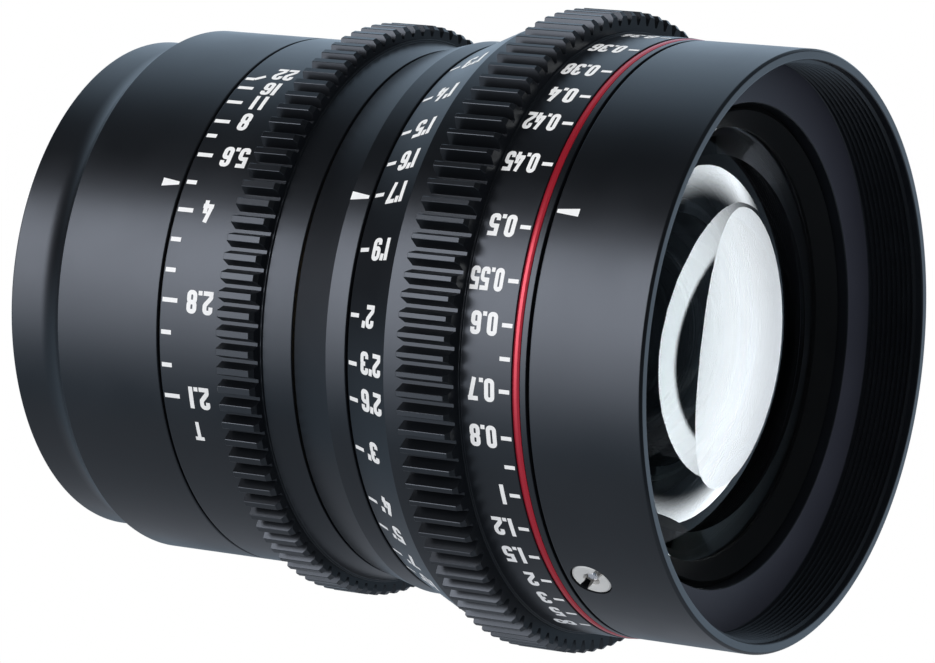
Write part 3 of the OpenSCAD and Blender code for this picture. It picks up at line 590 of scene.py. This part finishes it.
def lug(middle, half):
    """A lug of the bayonet that reaches a little into the spigot"""
    foot, top, front, edge, steps = 24.6, 26.85, 105.1, 0.15, 32
    section = [(foot, front), (top - edge, front), (top, front + edge), (top, SPIGOT_END - edge),
        (top - edge, SPIGOT_END), (foot, SPIGOT_END)]
    angles = [middle + half * (2 * i / steps - 1) for i in range(steps + 1)]
    vertices, faces = join_rows([[spot(r, s, angle) for r, s in section] for angle in angles], closed=False)
    faces.append(tuple(range(len(section))))
    faces.append(tuple(range(len(vertices) - len(section), len(vertices))))
    return vertices, faces


cut_away(bayonet, [mesh_object("lug_%d" % i, *lug(81.0 + 120.0 * i, 30.0)) for i in range(3)], "UNION")
SCREW_CIRCLE = 29.43
screw_places = [rear_place(SCREW_CIRCLE, 45.0 + 90.0 * i) for i in range(4)]
lock_place = rear_place(SCREW_CIRCLE, 141.0)
plate_holes = [mesh_object("screw_seat_%d" % i, *solid([(1.76, -1.0), (1.76, 1.0)], 32, place))
    for i, place in enumerate(screw_places)]
plate_holes.append(mesh_object("lock_hole", *solid([(1.3, -3.0), (1.3, 1.0)], 32, lock_place)))
cut_away(bayonet, plate_holes)
SCREW = [(0.9, -5.0), (0.9, -1.0), (1.7, -1.0), (1.7, -0.35), (1.5, -0.13)]
CROSS_LONG, CROSS_NARROW, CROSS_DEPTH = (-1.05, 1.05), (-0.16, 0.16), (-0.7, 0.5)
for number, place in enumerate(screw_places):
    screw = add_piece("mount_screw_%d" % (number + 1), *solid(SCREW, 48, place),
        "barrel", STEEL, "steel", ["mount_screws"])
    cut_away(screw, [
        mesh_object("cross_a", *box_solid(place, CROSS_LONG, CROSS_NARROW, CROSS_DEPTH)),
        mesh_object("cross_b", *box_solid(place, CROSS_NARROW, CROSS_LONG, CROSS_DEPTH))])

# Scale marks: strokes on a grid one high, each with whether it closes, rounded and laid on a band

LEFT, RIGHT, LOW, HIGH = 0.09, 0.38, 0.09, 0.91
GLYPHS = {
    " ": [],
    "0": [([(LEFT, LOW), (RIGHT, LOW), (RIGHT, HIGH), (LEFT, HIGH)], True)],
    "1": [([(0.1, 1.0), (0.1, 0.0)], False)],
    "2": [([(LEFT, 0.66), (LEFT, HIGH), (RIGHT, HIGH), (RIGHT, 0.6), (LEFT, 0.26), (LEFT, 0.0)], False),
        ([(0.0, LOW), (0.47, LOW)], False)],
    "3": [([(LEFT, 0.7), (LEFT, HIGH), (RIGHT, HIGH), (RIGHT, 0.52), (0.18, 0.52)], False),
        ([(0.18, 0.52), (RIGHT, 0.52), (RIGHT, LOW), (LEFT, LOW), (LEFT, 0.3)], False)],
    "4": [([(0.27, 1.0), (0.09, 0.24)], False), ([(0.0, 0.26), (0.5, 0.26)], False),
        ([(0.36, 0.6), (0.36, 0.0)], False)],
    "5": [([(0.0, HIGH), (0.46, HIGH)], False), ([(LEFT, 1.0), (LEFT, 0.47)], False),
        ([(0.0, 0.56), (RIGHT, 0.56), (RIGHT, LOW), (LEFT, LOW), (LEFT, 0.3)], False)],
    "6": [([(RIGHT, 0.7), (RIGHT, HIGH), (LEFT, HIGH), (LEFT, LOW), (RIGHT, LOW), (RIGHT, 0.54),
        (LEFT, 0.54)], False)],
    "7": [([(0.0, HIGH), (0.47, HIGH)], False), ([(0.37, 0.96), (0.17, 0.0)], False)],
    "8": [([(LEFT, LOW), (RIGHT, LOW), (RIGHT, 0.51), (LEFT, 0.51)], True),
        ([(LEFT, 0.51), (RIGHT, 0.51), (RIGHT, HIGH), (LEFT, HIGH)], True)],
    "9": [([(LEFT, 0.3), (LEFT, LOW), (RIGHT, LOW), (RIGHT, HIGH), (LEFT, HIGH), (LEFT, 0.46),
        (RIGHT, 0.46)], False)],
    ".": [([(0.08, 0.0), (0.08, 0.19)], False)],
    "'": [([(0.08, 1.0), (0.05, 0.7)], False)],
    "T": [([(0.0, HIGH), (0.5, HIGH)], False), ([(0.25, HIGH), (0.25, 0.0)], False)],
    "~": [([(0.1, 0.5), (0.1, 0.72), (0.36, 0.72), (0.64, 0.28), (0.9, 0.28), (0.9, 0.5), (0.9, 0.72),
        (0.64, 0.72), (0.36, 0.28), (0.1, 0.28)], True)],
}
DIGIT_WIDTH = 0.47
WIDTHS = {" ": 0.1, "1": 0.2, ".": 0.16, "'": 0.13, "~": 1.0, "T": 0.5}
STROKE = 0.195
GAP = 0.075
CORNER = 0.13
DENSE = 0.12
LIFT = 0.025
LAYER_LIFT = 0.4 * LIFT


def text_width(text):
    return sum(WIDTHS.get(letter, DIGIT_WIDTH) for letter in text) + GAP * (len(text) - 1)


def round_path(points, closed):
    """A stroke's path with round corners and points close enough to follow a curved band"""
    rounded = soften(points, CORNER, 4, closed)
    dense = []
    ends = rounded[1:] + ([rounded[0]] if closed else [])
    for start, end in zip(rounded, ends):
        parts = max(1, int(math.dist(start, end) / DENSE))
        dense += [(start[0] + (end[0] - start[0]) * i / parts, start[1] + (end[1] - start[1]) * i / parts)
            for i in range(parts)]
    if not closed:
        dense.append(rounded[-1])
    return [p for i, p in enumerate(dense) if i == 0 or math.dist(p, dense[i - 1]) > 1e-4]


class Marks:
    """Flat marks that follow a turned surface; a band gives its radius at a station"""

    def __init__(self):
        self.vertices = []
        self.faces = []

    def strip(self, path, closed, widths, place):
        count = len(path)
        start = len(self.vertices)
        for i, (x, y) in enumerate(path):
            before = path[i - 1] if closed or i else path[0]
            after = path[(i + 1) % count] if closed or i < count - 1 else path[-1]
            along = Vector((after[0] - before[0], after[1] - before[1])).normalized()
            one = Vector((x - before[0], y - before[1]))
            stretch = 1.0
            if one.length > 1e-6:
                stretch = 1.0 / max(0.5, along.dot(one.normalized()))
            side = Vector((-along.y, along.x)) * (widths[i] / 2 * stretch)
            self.vertices.append(place(x + side.x, y + side.y))
            self.vertices.append(place(x - side.x, y - side.y))
        for i in range(count if closed else count - 1):
            a = start + 2 * i
            b = start + 2 * ((i + 1) % count)
            self.faces.append((a, a + 1, b + 1, b))

    def text(self, words, band, station, angle, height, squeeze, align=0.0):
        """Text runs from front to rear; its top points to larger angles"""
        pen = station - text_width(words) * height * squeeze * align
        for letter in words:
            for layer, (points, closed) in enumerate(GLYPHS[letter]):
                path = round_path(points, closed)

                def place(x, y, pen=pen, lift=LIFT + LAYER_LIFT * layer):
                    s = pen + x * height * squeeze
                    return spot(band(s) + lift, s, angle + math.degrees((y - 0.5) * height / band(s)))

                self.strip(path, closed, [STROKE] * len(path), place)
            pen += (WIDTHS.get(letter, DIGIT_WIDTH) + GAP) * height * squeeze

    def bar(self, band, front, rear, angle, front_width, rear_width, lean=0.0):
        """A straight mark between two stations, with a width at each end"""
        parts = 6
        path = [(front + (rear - front) * i / parts, lean * i / parts) for i in range(parts + 1)]
        widths = [front_width + (rear_width - front_width) * i / parts for i in range(parts + 1)]
        self.strip(path, False, widths,
            lambda s, y: spot(band(s) + LIFT, s, angle + math.degrees(y / band(s))))

    def add(self, name, body):
        return add_piece(name, self.vertices, self.faces, body, WHITE, None)


def straight(radius):
    return lambda station: radius


def foot_band(station):
    return FOOT_R - (FOOT_R - MID_R) * (station - FOOT_START) / (FOCUS_END - FOOT_START)


metre_band = straight(METRE_R)
stop_band = straight(REAR_R)
AT_END = 1.0

METRES = [("0.34", -1.5), ("0.36", 10.7), ("0.38", 21.2), ("0.4", 29.9), ("0.42", 37.5), ("0.45", 47.3),
    ("0.5", 60.4), ("0.55", 70.6), ("0.6", 78.7), ("", 84.8), ("0.7", 90.8), ("0.8", 99.6), ("", 105.3),
    ("1", 111.2), ("1.2", 118.7), ("1.5", 125.8), ("2", 132.7), ("3", 139.1), ("5", 145.0), ("~", 151.0)]
FEET = [("1'2", 6.5), ("1'3", 19.8), ("1'4", 31.2), ("1'5", 40.9), ("1'6", 48.6), ("1'7", 55.7),
    ("1'9", 67.1), ("2'", 79.9), ("2'3", 89.3), ("2'6", 96.5), ("3'", 106.8), ("4'", 118.9),
    ("5'", 126.1), ("7'", 134.1), ("10'", 140.8), ("~", 150.2)]
FOCUS_TICK = 0.54
DISTANCE_HEIGHT = 3.0
FEET_OFFSET_FROM, FEET_OFFSET = 85.0, 0.6
focus_marks = Marks()
for words, angle in METRES:
    focus_marks.bar(metre_band, 19.05, 20.6, angle, FOCUS_TICK, FOCUS_TICK)
    squeeze = 0.9 if len(words) > 3 else 1.04
    focus_marks.text(words, metre_band, 21.3, angle, DISTANCE_HEIGHT, squeeze)
for words, angle in FEET:
    focus_marks.bar(foot_band, 43.0, 44.7, angle, FOCUS_TICK, FOCUS_TICK)
    text_angle = angle - FEET_OFFSET if angle > FEET_OFFSET_FROM else angle
    focus_marks.text(words, foot_band, 42.15, text_angle, DISTANCE_HEIGHT, 1.13, AT_END)
focus_marks.add("focus_scale", "focus_ring")

# Stops: words, angle of the tick, how far the number stands before it, and its height and squeeze
SMALL, LARGE = (2.75, 1.15), (3.1, 1.06)
STOPS = [("16", 28.9, 0.4, SMALL), ("1 1", 33.8, 0.4, SMALL), ("8", 39.7, 0.4, LARGE),
    ("5.6", 48.8, 0.1, LARGE), ("4", 61.8, 0.1, LARGE), ("2.8", 81.1, 0.1, LARGE), ("2.1", 101.7, 0.1, LARGE)]
BETWEEN_STOPS = [43.8, 55.5, 68.3, 74.8, 87.9, 94.9]
STOP_TICK, STOP_TICK_END = 0.6, 75.4
iris_marks = Marks()
for words, angle, offset, size in STOPS:
    iris_marks.bar(stop_band, 73.0, STOP_TICK_END, angle, STOP_TICK, STOP_TICK)
    iris_marks.text(words, stop_band, 71.45, angle - offset, *size, AT_END)
for angle in BETWEEN_STOPS:
    iris_marks.bar(stop_band, 73.8, STOP_TICK_END, angle, STOP_TICK, STOP_TICK)
# The last stop's number stands aside from its tick, and a slanted stroke joins them
BEND = 74.0
iris_marks.text("22", stop_band, 71.7, 22.9, *SMALL, AT_END)
iris_marks.bar(stop_band, 72.7, BEND, 24.2, STOP_TICK, STOP_TICK, 0.85)
iris_marks.bar(stop_band, BEND, STOP_TICK_END, 25.54, STOP_TICK, STOP_TICK)
iris_marks.text("T", stop_band, 71.6, 109.4, 2.8, 1.0, AT_END)
iris_marks.add("stop_scale", "iris_ring")

INDEX_ANGLE = 56.0
INDEX_WIDTHS = (0.45, 1.2)
fixed_marks = Marks()
fixed_marks.bar(straight(FRONT_R), 12.9, 16.1, INDEX_ANGLE + 0.5, 1.1, 0.5)
fixed_marks.bar(straight(MID_R), 45.7, 48.4, INDEX_ANGLE, *INDEX_WIDTHS)
fixed_marks.bar(straight(REAR_R), 76.5, 79.2, INDEX_ANGLE, *INDEX_WIDTHS)
fixed_marks.add("index_marks", "barrel")

# Materials of the CAD's own nodes, for those that no piece replaces

for subpart in frame["record"]["subparts"]:
    node = frame["nodes"][subpart["node"]]
    node.data.materials.clear()
    node.data.materials.append(SHADES[subpart["material_slot"]])

# Light

MIDDLE = Vector((0.0, -0.05, 0.0))
GLASS_FRONT = Vector((0.0, -0.094, 0.0))
Step = namedtuple("Step", "start end low high")
DarkMiddle = namedtuple("DarkMiddle", "centre half edge")


def towards(azimuth, elevation, distance):
    """A point in a direction; the azimuth grows from the front towards +X"""
    turn = math.radians(azimuth)
    rise = math.radians(elevation)
    flat = math.cos(rise) * distance
    return Vector((flat * math.sin(turn), -flat * math.cos(turn), math.sin(rise) * distance))


def area_light(name, target, direction, size, offset, radiance, tint):
    """A lamp in a direction (azimuth, elevation, distance) from its target, moved aside and up in its plane"""
    width, height = size
    data = bpy.data.lights.new(name, "AREA")
    data.shape = "RECTANGLE"
    data.size = width
    data.size_y = height
    data.energy = radiance * math.pi * width * height
    data.color = tint
    lamp = bpy.data.objects.new(name, data)
    bpy.context.scene.collection.objects.link(lamp)
    place = target + towards(*direction)
    turn = (target - place).normalized().to_track_quat("-Z", "Y").to_matrix().to_4x4()
    lamp.matrix_world = Matrix.Translation(place) @ turn @ Matrix.Translation((*offset, 0.0))
    lamp.visible_camera = False
    lamp.visible_diffuse = False
    return lamp


def light_only(lamp, name, pieces):
    lit = bpy.data.collections.new(name)
    for piece in pieces:
        lit.objects.link(piece)
    lamp.light_linking.receiver_collection = lit


def smooth_step(nodes, links, value, step):
    node = nodes.new("ShaderNodeMapRange")
    node.interpolation_type = "SMOOTHSTEP"
    node.inputs["From Min"].default_value = step.start
    node.inputs["From Max"].default_value = step.end
    node.inputs["To Min"].default_value = step.low
    node.inputs["To Max"].default_value = step.high
    links.new(value, node.inputs["Value"])
    return node.outputs["Result"]


def combine(nodes, links, operation, first, second):
    node = nodes.new("ShaderNodeMath")
    node.operation = operation
    links.new(first, node.inputs[0])
    links.new(second, node.inputs[1])
    return node.outputs["Value"]


def vector_math(nodes, links, operation, first, second=None):
    node = nodes.new("ShaderNodeVectorMath")
    node.operation = operation
    links.new(first, node.inputs[0])
    if second:
        node.inputs[1].default_value = second
    return node


def grade_lamp(lamp, axis, step, dark=None):
    """Grades a lamp to the right (X) or upwards (Y) and can leave an ellipse dark, in shares of its size"""
    lamp.data.use_nodes = True
    nodes = lamp.data.node_tree.nodes
    links = lamp.data.node_tree.links
    nodes.clear()
    spread = nodes.new("ShaderNodeNewGeometry").outputs["Parametric"]
    across = nodes.new("ShaderNodeSeparateXYZ")
    links.new(spread, across.inputs["Vector"])
    strength = smooth_step(nodes, links, across.outputs[axis], step)
    if dark:
        shift = vector_math(nodes, links, "SUBTRACT", spread, (*dark.centre, 0.0))
        share = vector_math(nodes, links, "DIVIDE", shift.outputs["Vector"], (*dark.half, 1.0))
        distance = vector_math(nodes, links, "LENGTH", share.outputs["Vector"])
        margin = smooth_step(nodes, links, distance.outputs["Value"], dark.edge)
        strength = combine(nodes, links, "MULTIPLY", strength, margin)
    emission = nodes.new("ShaderNodeEmission")
    links.new(strength, emission.inputs["Strength"])
    output = nodes.new("ShaderNodeOutputLight")
    links.new(emission.outputs["Emission"], output.inputs["Surface"])


def glass_light(name, offset, size, radiance):
    """An elliptical soft box at the right that only the front glass reflects"""
    lamp = area_light(name, GLASS_FRONT, (56.0, -10.0, 0.6), size, offset, radiance, (0.96, 1.0, 1.05))
    lamp.data.shape = "ELLIPSE"
    lamp.visible_transmission = False
    light_only(lamp, name + "_receivers", [front_glass])
    return lamp


# A soft box at the left behind the lens, fading downwards, draws the long highlight on the barrels
soft_box = area_light("left_soft_box", MIDDLE, (-114.0, 13.0, 0.8), (0.72, 1.05), (0.0, -0.155), 6.2,
    (1.0, 1.0, 1.1))
grade_lamp(soft_box, "Y", Step(0.08, 0.8, 0.06, 1.03))

# The glass shows a disc, a crescent beside it and two short arcs; the last two lamps have dark middles
disc_lamp = glass_light("glass_disc", (0.02, -0.005), (0.41, 0.41), 15.5)
grade_lamp(disc_lamp, "X", Step(0.05, 1.0, 1.0, 0.22))
rim_lamp = glass_light("glass_rim", (-0.06, 0.01), (0.606, 0.424), 24.0)
grade_lamp(rim_lamp, "X", Step(0.0, 0.85, 1.0, 0.0),
    DarkMiddle((0.533, 0.488), (0.421, 0.389), Step(0.94, 1.02, 0.0, 1.0)))
wing_lamp = glass_light("glass_wing", (-0.25, 0.012), (0.9, 0.69), 11.0)
grade_lamp(wing_lamp, "X", Step(0.86, 0.96, 1.0, 0.0),
    DarkMiddle((0.5, 0.5), (0.444, 0.4565), Step(0.9, 1.1, 0.0, 1.0)))

# A panel in front of the rim's face, which the glass leaves out
rim_panel = area_light("rim_panel", GLASS_FRONT, (57.0, -10.0, 0.7), (0.5, 0.5), (0.0, 0.0), 0.88,
    (0.8, 1.0, 1.22))
light_only(rim_panel, "metal_receivers", [barrel_piece, ridge])

# How bright gloss and glass see the studio in a direction: the product of a step for each axis
RIGHT_SIDE = (("X", Step(-0.08, 0.55, 0.0, 0.95)), ("Z", Step(-0.45, -0.15, 0.22, 1.0)),
    ("Y", Step(-0.3, 0.2, 0.15, 1.0)))
GROUND = (("Z", Step(-0.22, 0.12, 0.4, 0.0)), ("Y", Step(-0.8, -0.3, 0.1, 1.0)))


def make_world():
    """White to the camera; gloss and glass see a white right side, a pale ground and a dark upper left"""
    world = bpy.data.worlds.new("studio")
    bpy.context.scene.world = world
    world.use_nodes = True
    nodes = world.node_tree.nodes
    links = world.node_tree.links
    nodes.clear()
    path = nodes.new("ShaderNodeLightPath")
    place = nodes.new("ShaderNodeTexCoord")
    apart = nodes.new("ShaderNodeSeparateXYZ")
    links.new(place.outputs["Generated"], apart.inputs["Vector"])

    def product(steps):
        values = [smooth_step(nodes, links, apart.outputs[axis], step) for axis, step in steps]
        result = values[0]
        for value in values[1:]:
            result = combine(nodes, links, "MULTIPLY", result, value)
        return result

    def background(colour):
        node = nodes.new("ShaderNodeBackground")
        node.inputs["Color"].default_value = (*colour, 1.0)
        return node

    def mix(share, first, second):
        node = nodes.new("ShaderNodeMixShader")
        links.new(share, node.inputs[0])
        links.new(first.outputs[0], node.inputs[1])
        links.new(second.outputs[0], node.inputs[2])
        return node

    studio = background((0.78, 1.0, 1.24))
    brightness = combine(nodes, links, "MAXIMUM", product(RIGHT_SIDE), product(GROUND))
    links.new(brightness, studio.inputs["Strength"])
    fill = background((0.98, 0.99, 1.0))
    white = background((1.0, 1.0, 1.0))
    shiny = combine(nodes, links, "MAXIMUM",
        path.outputs["Is Glossy Ray"], path.outputs["Is Transmission Ray"])
    seen = mix(path.outputs["Is Camera Ray"], mix(shiny, fill, studio), white)
    output = nodes.new("ShaderNodeOutputWorld")
    links.new(seen.outputs[0], output.inputs["Surface"])


make_world()

# Floor and camera


def make_floor():
    """A pale disc well below the lens"""
    count = 96
    material, nodes, links, shader, place = new_material("pale_floor")
    shader.inputs["Roughness"].default_value = 0.9
    cloud = noise(nodes, links, place, 3.0, 2.0)
    colour = ramp(nodes, links, cloud, (0.39, 0.42, 0.475), (0.42, 0.45, 0.505))
    links.new(colour, shader.inputs["Base Color"])
    turns = [2 * math.pi * j / count for j in range(count)]
    vertices = [(0.0, 0.0, 0.0)]
    faces = []
    for radius in (0.25, 0.5):
        vertices += [(radius * math.cos(turn), radius * math.sin(turn), 0.0) for turn in turns]
    for j in range(count):
        k = (j + 1) % count
        faces.append((0, 1 + j, 1 + k))
        faces.append((1 + j, 1 + count + j, 1 + count + k, 1 + k))
    floor = mesh_object("floor", vertices, faces)
    floor.location = (0.0, -0.05, -0.34)
    floor.data.materials.append(material)


make_floor()

CAMERA_PLACE = (-0.58144, -0.40864, 0.12338)
CAMERA_AZIMUTH, CAMERA_TILT = math.radians(-58.482), math.radians(10.412)


def make_camera():
    """The photograph's camera, level and tilted down"""
    data = bpy.data.cameras.new("camera")
    data.sensor_fit = "HORIZONTAL"
    data.sensor_width = 36.0
    data.lens = 195.59
    data.clip_start = 0.01
    camera = bpy.data.objects.new("camera", data)
    bpy.context.scene.collection.objects.link(camera)
    right = Vector((math.cos(CAMERA_AZIMUTH), math.sin(CAMERA_AZIMUTH), 0.0))
    flat = Vector((-math.sin(CAMERA_AZIMUTH), math.cos(CAMERA_AZIMUTH), 0.0))
    forward = flat * math.cos(CAMERA_TILT) - Vector((0.0, 0.0, math.sin(CAMERA_TILT)))
    up = right.cross(forward)
    turn = Matrix((right, up, -forward)).transposed().to_4x4()
    camera.matrix_world = Matrix.Translation(CAMERA_PLACE) @ turn
    bpy.context.scene.camera = camera


make_camera()
bpy.context.scene.view_settings.view_transform = "Standard"
